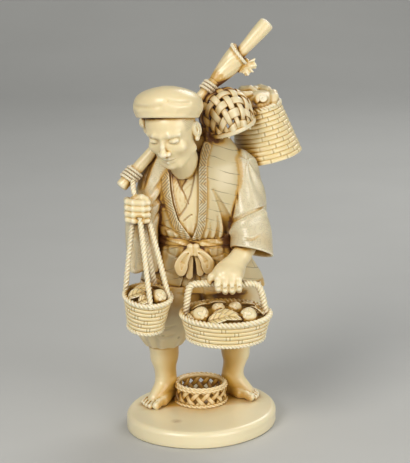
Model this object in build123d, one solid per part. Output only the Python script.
from build123d import *
import math
import os

# An okimono: a carved figure of a stooping pedlar with his baskets, pegged together from pieces.
# Millimetres. Origin at the centre of the base's underside, +Z up, the figure faces -Y.

# Base: an oval slice cut across the tusk
BASE_LENGTH = 69.6
BASE_WIDTH = 61.6
BASE_TURN = 50.0
BASE_THICKNESS = 7.0
BASE_EDGE_RADIUS = 2.2

# Joints between pieces: round pegs set in glue
PEG_RADIUS = 1.5
PEG_DEPTH = 3.5
GLUE_GAP = 0.05

# Heights of the standing figure, each from the one below
SHIN_HEIGHT = 27.0
BREECHES_HEIGHT = 28.0
SKIRT_HEIGHT = 21.0
CHEST_RISE = 23.0
SHOULDER_RISE = 9.0
NAPE_RISE = 12.0

# Legs and feet: plan places of each bare leg, and sizes that both share
RIGHT_LEG = {"ankle": (-15.8, 7.5), "knee": (-16.8, 6.0), "heel": (-14.6, 11.0), "ball": (-20.4, 1.2)}
LEFT_LEG = {"ankle": (13.6, 13.6), "knee": (15.4, 11.5), "heel": (11.6, 17.6), "ball": (19.6, 11.6)}
ANKLE_HEIGHT = 13.0
ANKLE_DIAMETER = 9.2
CALF_DIAMETER = 13.0
HEEL_WIDTH = 8.6
FOOT_HEIGHT = 8.2
BALL_WIDTH = 11.6
BALL_HEIGHT = 5.2
BIG_TOE_RADIUS = 2.3
SMALL_TOE_RADIUS = 1.6
TOE_LENGTH = 3.6
TOE_COUNT = 5
LEG_TENON = 5.0

# Breeches gathered at the knees
KNEE_HEM_WIDTH = 17.0
KNEE_HEM_DEPTH = 16.4
BLOUSE_WIDTH = 26.6
BLOUSE_DEPTH = 25.0
BLOUSE_HEIGHT = 12.0
HIP_WIDTH = 29.0
HIP_DEPTH = 27.0

# Jacket body: widths and depths at each height, and how far each is set forward or back
SKIRT_WIDTH, SKIRT_DEPTH, SKIRT_SET = 54.0, 29.0, 4.0
WAIST_WIDTH, WAIST_DEPTH, WAIST_SET = 35.0, 22.5, 2.5
CHEST_WIDTH, CHEST_DEPTH, CHEST_SET = 41.0, 25.0, 0.5
SHOULDER_WIDTH, SHOULDER_DEPTH, SHOULDER_SET = 37.0, 23.0, 1.5
NAPE_WIDTH, NAPE_DEPTH, NAPE_SET = 15.0, 11.0, 3.5
BODY_LEAN = 3.0
LAYER_STEP = 0.7
NECKLINE_WIDTH = 12.8
LAPEL_WIDTH = 4.2
NECKLINE_DEPTH = 7.0
SASH_HEIGHT = 4.4
BOW_LOOP_LENGTH = 10.5
BOW_LOOP_WIDTH = 5.2
BOW_KNOT_SIZE = 4.4

# Arms
SLEEVE_ROOT_DIAMETER = 15.0
ELBOW_DIAMETER = 16.0
CUFF_DIAMETER = 19.0
CUFF_WALL = 1.3
CUFF_POCKET = 6.0
CUFF_SLOPE = 16.0
SLEEVE_BAG_DIAMETER = 14.0
SLEEVE_BAG_DROP = 24.0
WRIST_DIAMETER = 8.4
PALM_DIAMETER = 12.6
FINGER_RADIUS = 1.55
FINGER_COUNT = 4
FIST_WIDTH = 11.0
FIST_HEIGHT = 10.4

# Head in its own upright frame, then tilted
HEAD_WIDTH = 21.0
HEAD_DEPTH = 24.0
CROWN_HEIGHT = 11.0
CHIN_DROP = 15.0
JAW_WIDTH = 13.0
EAR_HEIGHT = 7.0
NECK_DIAMETER = 12.0
NOD, TILT, TURN = 20.0, -13.0, -20.0
CLOTH_WIDTH = 29.4
CLOTH_SET = -1.0
CLOTH_TOP = 16.2
CLOTH_BRIM = 4.0
CLOTH_SLOPE = -34.0
CLOTH_KNOT_SIZE = 6.0

# Carrying pole over the right shoulder
POLE_LENGTH = 92.7
POLE_RADIUS = 2.6
POLE_TIP_RADIUS = 3.3
POLE_FRONT_REACH = 28.5
WRAP_LENGTH = 16.5
WRAP_RADIUS = 5.0
WRAP_FROM_TIP = 17.0
LASHING_CORD_RADIUS = 0.6
LASHING_PITCH = 1.7
FRONT_LASHING_TURNS = 4
REAR_LASHING_TURNS = 3
FRONT_LASHING_FROM_END = 3.5
REAR_LASHING_FROM_TIP = 39.5

# Coiled baskets: each coil shows as one ridge
COIL_HEIGHT = 1.9
COIL_BULGE = 0.45
BASKET_WALL = 1.5
BASKET_WELL = 3.6
HUNG_RIM_DIAMETER = 20.8
HUNG_FOOT_DIAMETER = 15.4
HUNG_COILS = 8
HUNG_TIP = 11.0
ROPE_RADIUS = 1.2
ROPE_DROP = 35.0
OVAL_LENGTH = 38.4
OVAL_WIDTH = 24.0
OVAL_FOOT_LENGTH = 33.0
OVAL_COILS = 6
OVAL_TIP = 10.0
HANDLE_RADIUS = 1.5
HANDLE_RISE = 12.5
HANDLE_SLANT = 1.4
HANDLE_COVER = 0.3
HANDLE_BEND = 4.0
FRUIT_RADIUS = 3.5
LEAF_RADIUS = 1.8

# Small pierced basket on the base
RING_DIAMETER = 22.4
RING_HEIGHT = 9.0
RING_WALL = 1.7
RING_FLOOR = 1.0
RING_HOLES = 14
RING_HOLE_SIZE = 1.9

# Pierced dome basket and creel on the back
DOME_DIAMETER = 22.6
DOME_WALL = 1.5
DOME_RIM = 6.5
DOME_HOLE_RADIUS = 1.05
DOME_HOLE_ROWS = (-14, 12, 38, 62)
DOME_HOLES_AROUND = 14
CREEL_FOOT_DIAMETER = 30.0
CREEL_MOUTH_DIAMETER = 21.0
CREEL_COILS = 12
CREEL_TIP = 13.0

deck = BASE_THICKNESS
hem = deck + SHIN_HEIGHT
hip = hem + BREECHES_HEIGHT
waist = hip + SKIRT_HEIGHT
chest = waist + CHEST_RISE
shoulder = chest + SHOULDER_RISE
nape = shoulder + NAPE_RISE


def oval(x, y, z, width, depth):
    """A level oval section."""
    return Pos(x, y, z) * Ellipse(width / 2, depth / 2)


def ellipsoid(width, depth, height):
    """A round lump about the origin."""
    return scale(Sphere(0.5), by=(width, depth, height))


def egg(width, height):
    """A round lump about the origin, as tall as height along Z."""
    half = Ellipse(width / 2, height / 2) & (Pos(width / 2, 0) * Rectangle(width, height * 2))
    return revolve(Plane.XZ * half, Axis.Z)


def between(start, end, share):
    """The point that lies a share of the way from start to end."""
    return Vector(*start) + (Vector(*end) - Vector(*start)) * share


def rod(start, end, radius):
    """A round rod with flat ends."""
    along = Vector(*end) - Vector(*start)
    return Part() + Solid.make_cylinder(radius, along.length, Plane(origin=start, z_dir=along))


def capsule(start, end, radius):
    """A round rod with round ends."""
    caps = [Pos(*tuple(Vector(*p))) * Sphere(radius) for p in (start, end)]
    return rod(start, end, radius) + caps


def limb(stations):
    """A smooth round limb through (point, diameter) stations."""
    points = [Vector(*point) for point, _ in stations]
    sections = []
    for i, (_, diameter) in enumerate(stations):
        along = points[min(i + 1, len(points) - 1)] - points[max(i - 1, 0)]
        across = Vector(0, 1, 0).cross(along)
        sections.append(Plane(origin=points[i], x_dir=across, z_dir=along) * Circle(diameter / 2))
    return loft(sections)


def one(shape):
    """The shape's largest solid, so that a cut leaves no crumbs."""
    return Part() + max(shape.solids(), key=lambda solid: solid.volume)


def peg(point, along):
    """A peg across a seam: half its length on each side of the point."""
    reach = Vector(*along).normalized() * PEG_DEPTH
    return rod(Vector(*point) - reach, Vector(*point) + reach, PEG_RADIUS)


def peg_hole(point, along):
    """The hole for that peg, with room for glue."""
    reach = Vector(*along).normalized() * (PEG_DEPTH + GLUE_GAP)
    return rod(Vector(*point) - reach, Vector(*point) + reach, PEG_RADIUS + GLUE_GAP)


# Base and bare legs
def bare_leg(places, outward):
    """A shin, ankle and foot, with a tenon that goes up into the breeches."""
    ankle, knee, heel, ball = (places[k] for k in ("ankle", "knee", "heel", "ball"))
    shin = limb([
        ((*heel, deck + FOOT_HEIGHT * 0.5), HEEL_WIDTH),
        ((*ankle, deck + ANKLE_HEIGHT), ANKLE_DIAMETER),
        ((*knee, hem), CALF_DIAMETER),
        ((*knee, hem + LEG_TENON), CALF_DIAMETER),
    ])
    facing = Vector(ball[0] - heel[0], ball[1] - heel[1], 0).normalized()
    across = Vector(-facing.Y, facing.X, 0)
    sole = []
    stations = (
        (Vector(*heel, 0) - facing * (HEEL_WIDTH * 0.35), HEEL_WIDTH * 0.7, FOOT_HEIGHT * 0.68),
        (Vector(*heel, 0), HEEL_WIDTH, FOOT_HEIGHT),
        (between((*heel, 0), (*ball, 0), 0.55), HEEL_WIDTH + 0.8, FOOT_HEIGHT),
        (Vector(*ball, 0), BALL_WIDTH, BALL_HEIGHT),
        (Vector(*ball, 0) + facing * TOE_LENGTH * 0.6, BALL_WIDTH - 0.8, BALL_HEIGHT * 0.72),
    )
    for centre, width, height in stations:
        middle = Vector(centre.X, centre.Y, deck + height * 0.42)
        sole.append(Plane(origin=middle, x_dir=across, z_dir=facing) * Ellipse(width / 2, height / 2))
    toes = []
    for i in range(TOE_COUNT):
        radius = BIG_TOE_RADIUS if i == 0 else SMALL_TOE_RADIUS
        aside = outward * (i / (TOE_COUNT - 1) - 0.5) * (BALL_WIDTH - BIG_TOE_RADIUS - SMALL_TOE_RADIUS)
        back = facing * (TOE_LENGTH * (1.0 - 0.22 * i))
        root = Vector(*ball, deck + radius * 0.85) + across * aside
        toes.append(capsule(root, root + back, radius))
    leg = shin + [loft(sole)] + toes
    below = Pos(0, 0, deck - BASE_LENGTH / 2) * Box(BASE_LENGTH * 2, BASE_LENGTH * 2, BASE_LENGTH)
    return one(leg - below)


leg_seats = [between((*p["heel"], deck), (*p["ball"], deck), 0.3) for p in (RIGHT_LEG, LEFT_LEG)]
leg_pegs = [peg(seat, (0, 0, 1)) for seat in leg_seats]
leg_holes = [peg_hole(seat, (0, 0, 1)) for seat in leg_seats]
right_leg_whole = bare_leg(RIGHT_LEG, -1)
left_leg_whole = bare_leg(LEFT_LEG, 1)

base_plate = extrude(Rot(0, 0, BASE_TURN) * Ellipse(BASE_LENGTH / 2, BASE_WIDTH / 2), BASE_THICKNESS)
base_plate = fillet(base_plate.edges().sort_by(Axis.Z)[-1], BASE_EDGE_RADIUS)
base_plate = fillet(base_plate.edges().sort_by(Axis.Z)[0], GLUE_GAP * 10)


# Breeches: two bloused legs that meet at the hips
def breeches_leg(places, hip_x):
    """One bloused leg, from the gathered hem to the hip."""
    x, y = places["knee"]
    rise = BREECHES_HEIGHT
    return loft([
        oval(x, y, hem, KNEE_HEM_WIDTH, KNEE_HEM_DEPTH),
        oval(x, y - 0.5, hem + BLOUSE_HEIGHT * 0.4, BLOUSE_WIDTH - 4, BLOUSE_DEPTH - 4),
        oval(x + 0.15 * (hip_x - x), y - 1, hem + BLOUSE_HEIGHT, BLOUSE_WIDTH, BLOUSE_DEPTH),
        oval(hip_x, SKIRT_SET, hem + rise, HIP_WIDTH, HIP_DEPTH),
    ])


hip_reach = (SKIRT_WIDTH - HIP_WIDTH) / 2 - LAYER_STEP
breeches_whole = breeches_leg(RIGHT_LEG, -hip_reach) + breeches_leg(LEFT_LEG, hip_reach)
hip_seat = (0, SKIRT_SET, hip)
hip_peg = peg(hip_seat, (0, 0, 1))
hip_hole = peg_hole(hip_seat, (0, 0, 1))
breeches = one(breeches_whole - right_leg_whole - left_leg_whole - hip_hole)
right_leg = one(right_leg_whole - leg_holes[0])
left_leg = one(left_leg_whole - leg_holes[1])


# Jacket: one stooping body, with the neckline, lapels and sash let into it
def body(extra):
    """The torso's outside, grown by extra all round."""
    grow = 2 * extra
    return loft([
        oval(0, SKIRT_SET, hip, SKIRT_WIDTH + grow, SKIRT_DEPTH + grow),
        oval(-0.3 * BODY_LEAN, (SKIRT_SET + WAIST_SET) / 2, hip + SKIRT_HEIGHT * 0.45,
             SKIRT_WIDTH - 8 + grow, SKIRT_DEPTH - 2.5 + grow),
        oval(-0.5 * BODY_LEAN, WAIST_SET, waist, WAIST_WIDTH + grow, WAIST_DEPTH + grow),
        oval(-0.5 * BODY_LEAN, CHEST_SET, chest, CHEST_WIDTH + grow, CHEST_DEPTH + grow),
        oval(0, SHOULDER_SET, shoulder, SHOULDER_WIDTH + grow, SHOULDER_DEPTH + grow),
        oval(BODY_LEAN, NAPE_SET, nape + extra, NAPE_WIDTH + grow, NAPE_DEPTH + grow),
    ])


neck_x = -2.2 * BODY_LEAN
apex_x = -1.23 * BODY_LEAN
opening_x = neck_x - BODY_LEAN


def neckline(spread, back):
    """A tall V-shaped prism through the front of the chest, back to the plane y = back."""
    front = -BASE_WIDTH / 2
    top = nape + NAPE_RISE
    slope = (NECKLINE_WIDTH / 2) / (shoulder - waist)
    half = slope * (top - waist) + spread
    outline = Polyline(
        (apex_x - spread, waist),
        (apex_x + spread, waist),
        (opening_x + half, top),
        (opening_x - half, top),
        close=True,
    )
    face = Plane.XZ * make_face(outline)
    return Pos(0, front, 0) * extrude(face, -(back - front))


chest_front = CHEST_SET - CHEST_DEPTH / 2
notch_back = chest_front + NECKLINE_DEPTH
torso = body(0)
inner_notch = neckline(0.6, notch_back)
lapel_notch = neckline(0.6 + LAPEL_WIDTH, notch_back)
under_robe_whole = body(-LAYER_STEP) & inner_notch
lapels_whole = (body(LAYER_STEP / 2) & lapel_notch) - inner_notch
sash_slab = Pos(0, 0, waist) * Box(BASE_LENGTH, BASE_LENGTH, SASH_HEIGHT)
sash_whole = (body(LAYER_STEP) & sash_slab) - body(-2 * LAYER_STEP)

# Head, neck and headcloth
head_at = Location(
    (neck_x - 6.0, chest_front - 6.5, nape + CHIN_DROP - 8.0), (NOD, TILT, TURN)
)
neck_foot = Vector(neck_x, CHEST_SET - 4.0, shoulder - 2)
skull = loft([
    oval(0, -5.2, -CHIN_DROP, JAW_WIDTH * 0.5, 5.0),
    oval(0, -4.6, -CHIN_DROP + 2, JAW_WIDTH * 0.85, 10.0),
    oval(0, -3.0, -CHIN_DROP * 0.62, HEAD_WIDTH * 0.84, HEAD_WIDTH * 0.83),
    oval(0, -1.2, -CHIN_DROP * 0.2, HEAD_WIDTH, HEAD_WIDTH * 0.99),
    oval(0, 0, CROWN_HEIGHT * 0.3, HEAD_WIDTH, HEAD_WIDTH * 0.99),
    oval(0, 0.3, CROWN_HEIGHT * 0.75, HEAD_WIDTH * 0.86, HEAD_WIDTH * 0.84),
    oval(0, 0.5, CROWN_HEIGHT, HEAD_WIDTH * 0.4, HEAD_WIDTH * 0.38),
])
ears = [Pos(side * HEAD_WIDTH / 2, 1.0, -1.2) * ellipsoid(3.0, 4.6, EAR_HEIGHT) for side in (-1, 1)]
nose = Pos(0, -HEAD_DEPTH / 2 + 0.6, -2.8) * ellipsoid(4.4, 4.6, 6.0)
face_and_ears = skull + ears + [nose]
neck_top = Vector(*(head_at * Pos(0, 2.0, -CHIN_DROP * 0.5)).position)
neck = limb([(neck_foot, NECK_DIAMETER + 1), (between(neck_foot, neck_top, 0.5), NECK_DIAMETER),
             (neck_top, NECK_DIAMETER)])
head_whole = head_at * face_and_ears + neck

cloth_shell = Pos(0, -1.4, 1.2) * Rot(CLOTH_SLOPE, 0, 0) * loft([
    oval(CLOTH_SET, 1.0, CLOTH_BRIM, CLOTH_WIDTH - 4.6, CLOTH_WIDTH - 4.6),
    oval(CLOTH_SET, 1.2, CLOTH_BRIM + 1.6, CLOTH_WIDTH - 1.6, CLOTH_WIDTH - 1.6),
    oval(CLOTH_SET, 1.6, CLOTH_BRIM + 4.6, CLOTH_WIDTH, CLOTH_WIDTH - 0.2),
    oval(CLOTH_SET, 1.6, CLOTH_TOP - 3.0, CLOTH_WIDTH - 4.0, CLOTH_WIDTH - 4.4),
    oval(CLOTH_SET, 1.6, CLOTH_TOP - 0.9, CLOTH_WIDTH - 10.0, CLOTH_WIDTH - 10.4),
    oval(CLOTH_SET, 1.6, CLOTH_TOP, CLOTH_WIDTH - 18.0, CLOTH_WIDTH - 18.4),
])
cloth_whole = head_at * cloth_shell
knot_x = -HEAD_WIDTH / 2 - 3.2
knot_lumps = [
    capsule((knot_x, 4.4, 1.0), (knot_x - 0.4, 4.8, -1.6), CLOTH_KNOT_SIZE * 0.38),
    capsule((knot_x + 0.6, 5.2, -3.6), (knot_x + 1.4, 5.6, -6.0), CLOTH_KNOT_SIZE * 0.33),
]
knot_whole = head_at * (knot_lumps[0] + [knot_lumps[1]])

# Carrying pole: rests on the right shoulder and rises behind the head
pole_dir = Vector(61.3, 24.0, 65.2).normalized()
pole_rest = Vector(-CHEST_WIDTH / 2 + 5.6, -1.5, shoulder + 11.8)
pole_end = pole_rest - pole_dir * POLE_FRONT_REACH
pole_tip = pole_end + pole_dir * POLE_LENGTH


def on_pole(distance):
    """The point at that distance from the pole's front end."""
    return pole_end + pole_dir * distance


def pole_frame(distance):
    """A frame on the pole's axis with Z along it."""
    return Plane(origin=on_pole(distance), x_dir=Vector(0, 1, 0).cross(pole_dir), z_dir=pole_dir)


wrap_end = POLE_LENGTH - WRAP_FROM_TIP
wrap_start = wrap_end - WRAP_LENGTH
pole = rod(pole_end, on_pole(wrap_end), POLE_RADIUS) + loft([
    pole_frame(wrap_end) * Circle(POLE_RADIUS),
    pole_frame(POLE_LENGTH - WRAP_FROM_TIP * 0.4) * Circle((POLE_RADIUS + POLE_TIP_RADIUS) / 2),
    pole_frame(POLE_LENGTH) * Circle(POLE_TIP_RADIUS),
])
pole = fillet(pole.edges().sort_by(Axis.Z)[0], POLE_RADIUS * 0.45)
pole = fillet(pole.edges().sort_by(Axis.Z)[-1], POLE_TIP_RADIUS * 0.4)
wrap_outer = loft([
    pole_frame(wrap_start) * Circle(POLE_RADIUS + 0.8),
    pole_frame(wrap_start + WRAP_LENGTH * 0.35) * Circle(WRAP_RADIUS - 1.0),
    pole_frame(wrap_start + WRAP_LENGTH * 0.8) * Circle(WRAP_RADIUS),
    pole_frame(wrap_end) * Circle(WRAP_RADIUS - 0.6),
])
wrap_bore = rod(on_pole(wrap_start - 1), on_pole(wrap_end + 1), POLE_RADIUS + GLUE_GAP)
pole_wrap = wrap_outer - wrap_bore
knot_at = on_pole(wrap_end - 1.5) + Vector(2.6, -1.2, -4.0)
wrap_knot_whole = (Pos(*knot_at) * Rot(0, 35, 0) * egg(4.4, 7.0)) + [
    Pos(*(knot_at + Vector(2.4, -0.4, -0.8))) * Rot(0, -30, 0) * egg(3.4, 5.0)
]
wrap_knot = one(wrap_knot_whole - wrap_outer)


def biarc(start, start_dir, end, end_dir):
    """Two arcs in line with each other that leave start and reach end in the given directions."""
    span = end - start
    both = start_dir + end_dir
    spread = 2 * (1 - start_dir.dot(end_dir))
    lead = (math.sqrt(span.dot(both) ** 2 + spread * span.dot(span)) - span.dot(both)) / spread
    joint = (start + start_dir * lead + end - end_dir * lead) * 0.5
    first = TangentArc(start, joint, tangent=start_dir)
    return [first, TangentArc(joint, end, tangent=first % 1)]


def lashing(distance, turns):
    """One cord wound round the pole, turn beside turn, in quarter turns."""
    radius = POLE_RADIUS + LASHING_CORD_RADIUS + GLUE_GAP
    rise = LASHING_PITCH / (2 * math.pi)
    stops = []
    for i in range(4 * turns + 1):
        turn = math.pi / 2 * i
        point = Vector(radius * math.cos(turn), radius * math.sin(turn), rise * turn)
        ahead = Vector(-radius * math.sin(turn), radius * math.cos(turn), rise).normalized()
        stops.append((point, ahead))
    arcs = []
    for (start, start_dir), (end, end_dir) in zip(stops, stops[1:]):
        arcs += biarc(start, start_dir, end, end_dir)
    path = Wire(arcs)
    steps = 24 * turns
    points = [path @ (i / steps) for i in range(steps + 1)]
    far = [(a - b).length for i, a in enumerate(points) for b in points[i + 12:]]
    print("lashing of", turns, "turns: least gap to itself", round(min(far) - 2 * LASHING_CORD_RADIUS, 3))
    section = Plane(origin=path @ 0, z_dir=path % 0) * Circle(LASHING_CORD_RADIUS)
    return pole_frame(distance).location * sweep(section, path=path)


front_lashing_at = FRONT_LASHING_FROM_END
rear_lashing_at = POLE_LENGTH - REAR_LASHING_FROM_TIP
front_lashing = lashing(front_lashing_at, FRONT_LASHING_TURNS)
rear_lashing = lashing(rear_lashing_at, REAR_LASHING_TURNS)

# Left arm: a sleeve hanging from the shoulder, and the hand that grips the oval basket's handle
half_chest = CHEST_WIDTH / 2
cuff = Vector(half_chest + 0.3, -10.5, waist - 3.6)
elbow = Vector(half_chest - 0.7, -4.5, waist + 9.4)
left_root = Vector(SHOULDER_WIDTH / 2 - 1.5, SHOULDER_SET + 1.0, shoulder - 3.5)
left_sleeve_whole = limb([
    (left_root, SLEEVE_ROOT_DIAMETER),
    (between(left_root, elbow, 0.55), ELBOW_DIAMETER),
    (elbow, ELBOW_DIAMETER),
    (between(elbow, cuff, 1.3), CUFF_DIAMETER),
]) + [Pos(*left_root) * Sphere(SLEEVE_ROOT_DIAMETER / 2)]
below_cuff = Pos(*cuff) * Rot(0, CUFF_SLOPE, 0) * Pos(0, 0, -CUFF_DIAMETER) * Box(
    CUFF_DIAMETER * 3, CUFF_DIAMETER * 3, CUFF_DIAMETER * 2
)
pocket_top = between(cuff, elbow, CUFF_POCKET / (elbow - cuff).length)
pocket_low = between(cuff, elbow, -0.5)
cuff_inside = CUFF_DIAMETER - 2 * CUFF_WALL
pocket = limb([(pocket_low, cuff_inside + 0.6), (pocket_top, cuff_inside - 1)])

grip = Vector(10.0, -21.5, waist - 14.5)
wrist = between(grip, pocket_top, 0.62)
left_hand_whole = limb([
    (pocket_top, WRIST_DIAMETER),
    (wrist, WRIST_DIAMETER),
    (between(grip, wrist, 0.5) + Vector(-1.0, 0.5, 0.5), PALM_DIAMETER),
    (grip + Vector(0, 0, HANDLE_RADIUS + 1), PALM_DIAMETER - 1),
])
left_fingers = []
for i in range(FINGER_COUNT):
    spot = grip + Vector((i - 1.2) * FINGER_RADIUS * 1.85, -HANDLE_RADIUS - FINGER_RADIUS + 0.3, 0)
    fingertip = spot + Vector(0, 0.2, -FINGER_RADIUS)
    left_fingers.append(capsule(spot + Vector(0, 0.6, 4.6), fingertip, FINGER_RADIUS))
left_fingers.append(capsule(grip + Vector(-2, 2.4, 4.5), grip + Vector(-6.2, 0.4, 2.6), FINGER_RADIUS))
left_hand_whole = left_hand_whole + left_fingers

# Right arm: raised under the pole, its sleeve hanging as a deep bag below the fist
fist = Vector(-half_chest - 6.0, -14.0, waist + 15.5)
right_root = Vector(-SHOULDER_WIDTH / 2 + 3.0, 0, shoulder + 1.0)
right_elbow = Vector(-half_chest - 3.0, -2.0, waist + 11.0)
bag_x = -half_chest - 4.6
bag_top = waist + 11.0
bag_middle = bag_top - SLEEVE_BAG_DROP / 2
bag_low = bag_top - SLEEVE_BAG_DROP
right_sleeve_whole = limb([
    (right_root, SLEEVE_ROOT_DIAMETER + 1),
    (between(right_root, right_elbow, 0.5), SLEEVE_ROOT_DIAMETER),
    (right_elbow, SLEEVE_ROOT_DIAMETER - 1),
]) + [
    Pos(*right_root) * Sphere((SLEEVE_ROOT_DIAMETER + 1) / 2),
    Pos(*right_elbow) * Sphere((SLEEVE_ROOT_DIAMETER - 1) / 2),
    loft([
        oval(bag_x, -4.6, bag_top, SLEEVE_BAG_DIAMETER - 1.0, SLEEVE_BAG_DIAMETER - 1.2),
        oval(bag_x - 0.2, -4.6, bag_middle, SLEEVE_BAG_DIAMETER, SLEEVE_BAG_DIAMETER - 0.4),
        oval(bag_x + 0.3, -4.2, bag_low, SLEEVE_BAG_DIAMETER - 0.6, SLEEVE_BAG_DIAMETER - 1.0),
    ]),
]
forearm_root = Vector(bag_x, -5.5, bag_top - 2.0)
right_hand_whole = limb([
    (forearm_root, WRIST_DIAMETER),
    (between(forearm_root, fist, 0.6), WRIST_DIAMETER),
    (fist, WRIST_DIAMETER + 1),
]) + [Pos(*fist) * fillet(Box(FIST_WIDTH - 1, 8.0, FIST_HEIGHT - 1).edges(), 2.4)]
right_fingers = []
for i in range(FINGER_COUNT):
    level = fist.Z + (i - (FINGER_COUNT - 1) / 2) * FIST_HEIGHT / FINGER_COUNT
    start = Vector(fist.X - FIST_WIDTH / 2 + FINGER_RADIUS, fist.Y - 3.2, level)
    finish = start + Vector(FIST_WIDTH - 2 * FINGER_RADIUS, 0, 0)
    right_fingers.append(capsule(start, finish, FINGER_RADIUS))
thumb = Vector(fist.X + 2.6, fist.Y - 2.0, fist.Z + FIST_HEIGHT / 2)
right_fingers.append(capsule(fist + Vector(-1, 0, FIST_HEIGHT / 2 - 1), thumb, FINGER_RADIUS))
right_hand_whole = right_hand_whole + right_fingers


# Coiled baskets
def coiled(foot, rim, coils):
    """A round coiled basket standing on z = 0, with a shallow well on top."""
    height = coils * COIL_HEIGHT
    ridges = []
    for i in range(coils):
        low = (foot + (rim - foot) * i / coils) / 2
        high = (foot + (rim - foot) * (i + 1) / coils) / 2
        crest = ((low + high) / 2 + COIL_BULGE, (i + 0.5) * COIL_HEIGHT)
        ridges.append(ThreePointArc((low, i * COIL_HEIGHT), crest, (high, (i + 1) * COIL_HEIGHT)))
    well = rim / 2 - BASKET_WALL
    inside = Polyline(
        (rim / 2, height), (well, height), (well, height - BASKET_WELL),
        (0, height - BASKET_WELL), (0, 0), (foot / 2, 0),
    )
    return revolve(Plane.XZ * make_face(ridges + [inside]), Axis.Z)


hung_rim = Vector(-half_chest - 1.9, -21.0, fist.Z - ROPE_DROP)
hung_at = Location(tuple(hung_rim), (HUNG_TIP, 4.5, 0))
hung_height = HUNG_COILS * COIL_HEIGHT
hung_place = hung_at * Pos(0, 0, -hung_height)
hung_basket_whole = hung_place * coiled(HUNG_FOOT_DIAMETER, HUNG_RIM_DIAMETER, HUNG_COILS)
rope_ring = HUNG_RIM_DIAMETER / 2 - BASKET_WALL / 2


def rope(angle, top):
    """One rigid carved rope from inside the fist to the basket's rim."""
    turn = math.radians(angle)
    low = hung_at * Pos(rope_ring * math.cos(turn), rope_ring * math.sin(turn), -BASKET_WALL)
    return capsule(fist + Vector(*top), low.position, ROPE_RADIUS)


rope_top = -FIST_HEIGHT / 2 + 2.4
ropes = {
    "front_rope": rope(-80, (0.9, -3.4, rope_top)),
    "side_rope": rope(-15, (4.0, -0.8, rope_top)),
    "outer_rope": rope(168, (-1.6, -0.6, rope_top)),
    "back_rope": rope(72, (1.4, 1.0, rope_top)),
}
hung_bed = hung_place * Pos(0, 0, hung_height - BASKET_WELL) * extrude(
    Circle(HUNG_RIM_DIAMETER / 2 - BASKET_WALL), BASKET_WELL * 0.55
)
hung_fruit_at = hung_at * Pos(HUNG_RIM_DIAMETER * 0.22, -HUNG_RIM_DIAMETER * 0.16, FRUIT_RADIUS * 0.45)
hung_fruit = hung_fruit_at * Sphere(FRUIT_RADIUS - 0.3)
hung_leaf_lumps = [
    hung_at * capsule((-6.0, -3.6, -0.6), (-0.6, -1.6, 1.2), LEAF_RADIUS),
    hung_at * capsule((-5.2, 3.6, -0.4), (0.8, 2.0, 0.8), LEAF_RADIUS),
]
hung_leaves_whole = hung_bed + hung_leaf_lumps

oval_rim = grip - Vector(0, 0, HANDLE_RISE)
oval_at = Location(tuple(oval_rim), (OVAL_TIP, 0, 0))
oval_height = OVAL_COILS * COIL_HEIGHT
flat = OVAL_WIDTH / OVAL_LENGTH
oval_place = oval_at * Pos(0, 0, -oval_height)
oval_round = coiled(OVAL_FOOT_LENGTH, OVAL_LENGTH, OVAL_COILS)
oval_basket_whole = oval_place * scale(oval_round, by=(1, flat, 1))
lean_back = math.tan(math.radians(OVAL_TIP))
handle_sink = BASKET_WALL * 1.5
wall_slant = (OVAL_LENGTH - OVAL_FOOT_LENGTH) / 2 / oval_height
foot_x = OVAL_LENGTH / 2 - wall_slant * handle_sink - HANDLE_COVER - HANDLE_RADIUS
handle_path = FilletPolyline(
    (-foot_x, -handle_sink * lean_back, -handle_sink),
    (-foot_x + HANDLE_SLANT, HANDLE_RISE * lean_back, HANDLE_RISE),
    (foot_x - 2 * HANDLE_SLANT, HANDLE_RISE * lean_back, HANDLE_RISE),
    (foot_x, -handle_sink * lean_back, -handle_sink),
    radius=HANDLE_BEND,
)
handle_section = Plane(origin=handle_path @ 0, z_dir=handle_path % 0) * Circle(HANDLE_RADIUS)
oval_handle = oval_at * sweep(handle_section, path=handle_path)
bed_half_length = OVAL_LENGTH / 2 - BASKET_WALL - 0.1
oval_bed = oval_at * Pos(0, 0, -BASKET_WELL) * extrude(
    Ellipse(bed_half_length, bed_half_length * flat), BASKET_WELL * 0.55
)
fruit_places = (
    (-OVAL_LENGTH * 0.27, -OVAL_WIDTH * 0.18, 0.0),
    (OVAL_LENGTH * 0.24, -OVAL_WIDTH * 0.2, 0.0),
    (-OVAL_LENGTH * 0.08, OVAL_WIDTH * 0.06, -0.5),
    (OVAL_LENGTH * 0.1, OVAL_WIDTH * 0.1, -0.5),
)
oval_fruit = [
    oval_at * Pos(x, y, FRUIT_RADIUS * 0.4 + less) * Sphere(FRUIT_RADIUS + less)
    for x, y, less in fruit_places
]
oval_leaf_lumps = [
    oval_at * capsule((-4.6, -6.4, -0.8), (3.0, -6.0, 0.2), LEAF_RADIUS),
    oval_at * capsule((10.6, 3.6, -0.6), (14.0, -1.4, -0.4), LEAF_RADIUS),
    oval_at * capsule((-12.4, 3.0, -0.6), (-8.0, 5.4, 0.2), LEAF_RADIUS),
]
oval_leaves_whole = oval_bed + oval_leaf_lumps

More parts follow.
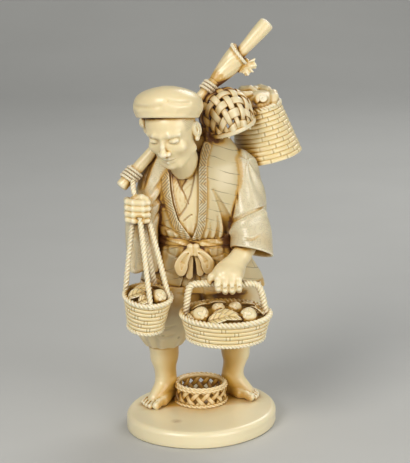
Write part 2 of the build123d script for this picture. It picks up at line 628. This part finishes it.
# Small pierced basket on the base, between the feet
ring_at = Pos(-0.5, 7.0, deck)
ring_outer = RING_DIAMETER / 2
ring_shell = Cylinder(ring_outer, RING_HEIGHT, align=(Align.CENTER, Align.CENTER, Align.MIN))
ring_shell -= Pos(0, 0, RING_FLOOR) * Cylinder(
    ring_outer - RING_WALL, RING_HEIGHT, align=(Align.CENTER, Align.CENTER, Align.MIN)
)
ring_holes = []
row_gap = RING_HEIGHT * 0.27
for row in range(2):
    for i in range(RING_HOLES):
        turn = 360 / RING_HOLES * (i + 0.5 * row)
        hole = Rot(0, 0, turn) * Pos(ring_outer, 0, RING_HEIGHT * 0.37 + row * row_gap) * Rot(45, 0, 0)
        ring_holes.append(hole * Box(RING_WALL * 3, RING_HOLE_SIZE, RING_HOLE_SIZE))
floor_basket_whole = ring_at * (ring_shell - ring_holes)

# Pierced dome basket and coiled creel carried on the back
dome_at = Location((BODY_LEAN + 7.0, 4.4, nape + 7.9), (6, -17, 0))
dome_shell = Sphere(DOME_DIAMETER / 2) + [
    Pos(0, 0, -DOME_RIM)
    * Cylinder(DOME_DIAMETER / 2, DOME_RIM, align=(Align.CENTER, Align.CENTER, Align.MIN))
]
dome_solid = dome_at * dome_shell
dome_shell -= Sphere(DOME_DIAMETER / 2 - DOME_WALL)
dome_shell -= Pos(0, 0, -DOME_RIM) * Cylinder(
    DOME_DIAMETER, DOME_DIAMETER, align=(Align.CENTER, Align.CENTER, Align.MAX)
)
dome_shell -= Pos(0, 0, -DOME_RIM) * Cylinder(
    DOME_DIAMETER / 2 - DOME_WALL, DOME_RIM, align=(Align.CENTER, Align.CENTER, Align.MIN)
)
dome_holes = []
for row, lift in enumerate(DOME_HOLE_ROWS):
    around = round(DOME_HOLES_AROUND * math.cos(math.radians(lift)))
    for i in range(around):
        turn = 360 / around * (i + 0.5 * row)
        hole = Rot(0, 0, turn) * Rot(0, -lift, 0) * Pos(DOME_DIAMETER / 2, 0, 0)
        dome_holes.append(hole * Box(DOME_WALL * 4, DOME_HOLE_RADIUS * 2, DOME_HOLE_RADIUS * 2))
dome_whole = dome_at * (dome_shell - dome_holes)

creel_at = Location((half_chest + 8.0, 19.0, shoulder - 1.5), (0, -CREEL_TIP, 0))
creel_height = CREEL_COILS * COIL_HEIGHT
creel_whole = creel_at * coiled(CREEL_FOOT_DIAMETER, CREEL_MOUTH_DIAMETER, CREEL_COILS)
catch_at = creel_at * Pos(0, 0, creel_height - BASKET_WELL)
catch_disc = extrude(Circle(CREEL_MOUTH_DIAMETER / 2 - BASKET_WALL), BASKET_WELL)
catch_lumps = [
    capsule((-5.6, -2.6, BASKET_WELL + 1.4), (-3.4, 1.6, BASKET_WELL + 3.4), LEAF_RADIUS * 1.8),
    capsule((-1.0, 4.6, BASKET_WELL + 2.4), (5.2, 2.6, BASKET_WELL + 1.8), LEAF_RADIUS * 1.8),
    capsule((6.6, -2.4, BASKET_WELL + 0.4), (6.8, 1.6, BASKET_WELL + 0.6), LEAF_RADIUS * 1.5),
]
creel_catch_whole = catch_at * (catch_disc + catch_lumps)
creel_shell = catch_at * Pos(2.4, -3.0, BASKET_WELL + 1.8) * Sphere(3.6)

# Rope that ties the pole to the fist
tail_foot = thumb + Vector(-3.4, 1.6, -0.6)
front_tail_whole = capsule(tail_foot, on_pole(front_lashing_at + 2), LASHING_CORD_RADIUS * 2)

# Bow of the sash
bow_at = Vector(apex_x, WAIST_SET - WAIST_DEPTH / 2 - 1.6, waist - SASH_HEIGHT / 2 - 0.6)
bow_whole = Pos(*bow_at) * Sphere(BOW_KNOT_SIZE / 2) + [
    Pos(*(bow_at + Vector(side * BOW_LOOP_LENGTH * 0.36, -0.4, -BOW_LOOP_LENGTH * 0.36)))
    * Rot(0, side * -44, 0)
    * egg(BOW_LOOP_WIDTH, BOW_LOOP_LENGTH)
    for side in (-1, 1)
]

# Seats: each piece is cut by the pieces that it is set against
torso_layers = (torso - lapel_notch) - sash_whole - head_whole
nodes = {
    "base_plate": base_plate - leg_holes[0] - leg_holes[1],
    "right_leg": right_leg,
    "left_leg": left_leg,
    "right_leg_peg": leg_pegs[0],
    "left_leg_peg": leg_pegs[1],
    "breeches": breeches,
    "hip_peg": hip_peg,
    "jacket": one(torso_layers - hip_hole),
    "under_robe": one(under_robe_whole - sash_whole - head_whole),
    "sash": sash_whole,
    "sash_bow": one(bow_whole - torso - sash_whole - lapels_whole),
    "head": head_whole,
    "headcloth": one(cloth_whole - head_whole),
    "cloth_knot": one(knot_whole - head_whole - cloth_whole),
    "pole": pole,
    "pole_wrap": pole_wrap,
    "wrap_knot": wrap_knot,
    "front_lashing": front_lashing,
    "rear_lashing": rear_lashing,
}
lapels = (lapels_whole - sash_whole - head_whole).solids().sort_by(Axis.X)
nodes["right_lapel"] = Part() + lapels[0]
nodes["left_lapel"] = Part() + lapels[-1]
garments = [torso, sash_whole]
nodes["left_sleeve"] = one(left_sleeve_whole - below_cuff - pocket - garments - left_hand_whole)
nodes["left_hand"] = one(left_hand_whole - oval_handle)
nodes["right_sleeve"] = one(
    right_sleeve_whole - garments - lapels_whole - right_hand_whole - pole - head_whole
)
rope_solids = list(ropes.values())
nodes["right_hand"] = one(right_hand_whole - rope_solids)
nodes.update(ropes)
nodes["hung_basket"] = one(hung_basket_whole - rope_solids)
nodes["hung_leaves"] = one(hung_leaves_whole - hung_basket_whole - rope_solids - hung_fruit)
nodes["hung_fruit"] = one(hung_fruit - hung_basket_whole - rope_solids)
nodes["oval_basket"] = one(oval_basket_whole - oval_handle)
nodes["oval_handle"] = oval_handle
nodes["oval_leaves"] = one(oval_leaves_whole - oval_basket_whole - oval_fruit - oval_handle)
for i, fruit in enumerate(oval_fruit):
    nodes[f"oval_fruit_{i + 1}"] = one(fruit - oval_basket_whole)
nodes["floor_basket"] = one(floor_basket_whole - right_leg_whole)
nodes["dome_basket"] = one(dome_whole - torso - pole - rear_lashing - wrap_outer)
nodes["creel"] = one(creel_whole - garments - left_sleeve_whole - dome_solid)
nodes["creel_catch"] = one(creel_catch_whole - creel_shell - dome_solid - creel_whole)
nodes["creel_shell"] = creel_shell
nodes["front_tail"] = one(front_tail_whole - pole - front_lashing - right_hand_whole)

os.makedirs("parts", exist_ok=True)
for name, shape in nodes.items():
    export_step(shape, f"parts/{name}.step")
print(len(nodes), "nodes")
